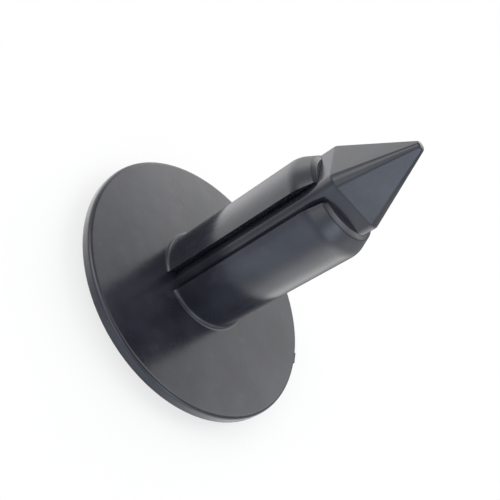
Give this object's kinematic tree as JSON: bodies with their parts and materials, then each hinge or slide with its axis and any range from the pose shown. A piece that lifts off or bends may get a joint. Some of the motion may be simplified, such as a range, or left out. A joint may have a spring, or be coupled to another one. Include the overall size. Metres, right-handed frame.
{
  "type": "plastic push rivet",
  "caption": "Plastic push rivet: thin round flange, shank slotted into two legs with tapered ends, square pin with a spear point pushed home between them.",
  "frame": {"origin": "middle of the outer face of the pin's head, the face the rivet stands on", "axes": "+Z along the shank from the pin's head to its point, +X through one mouth of the slot between the two legs"},
  "size_m": [0.02, 0.02, 0.0203],
  "materials": {
    "sleeve_plastic": "blue-black moulded nylon, satin gloss with fine scuffs",
    "pin_plastic": "blue-black moulded nylon, satin gloss with fine scuffs"
  },
  "bodies": {
    "sleeve": {"sleeve": "sleeve_plastic"},
    "pin": {"pin": "pin_plastic"}
  },
  "joints": [
    {"name": "pin_slide", "type": "slide", "parent": "sleeve", "child": "pin", "axis": [0, 0, 1], "range_m": [-0.006, 0]}
  ]
}
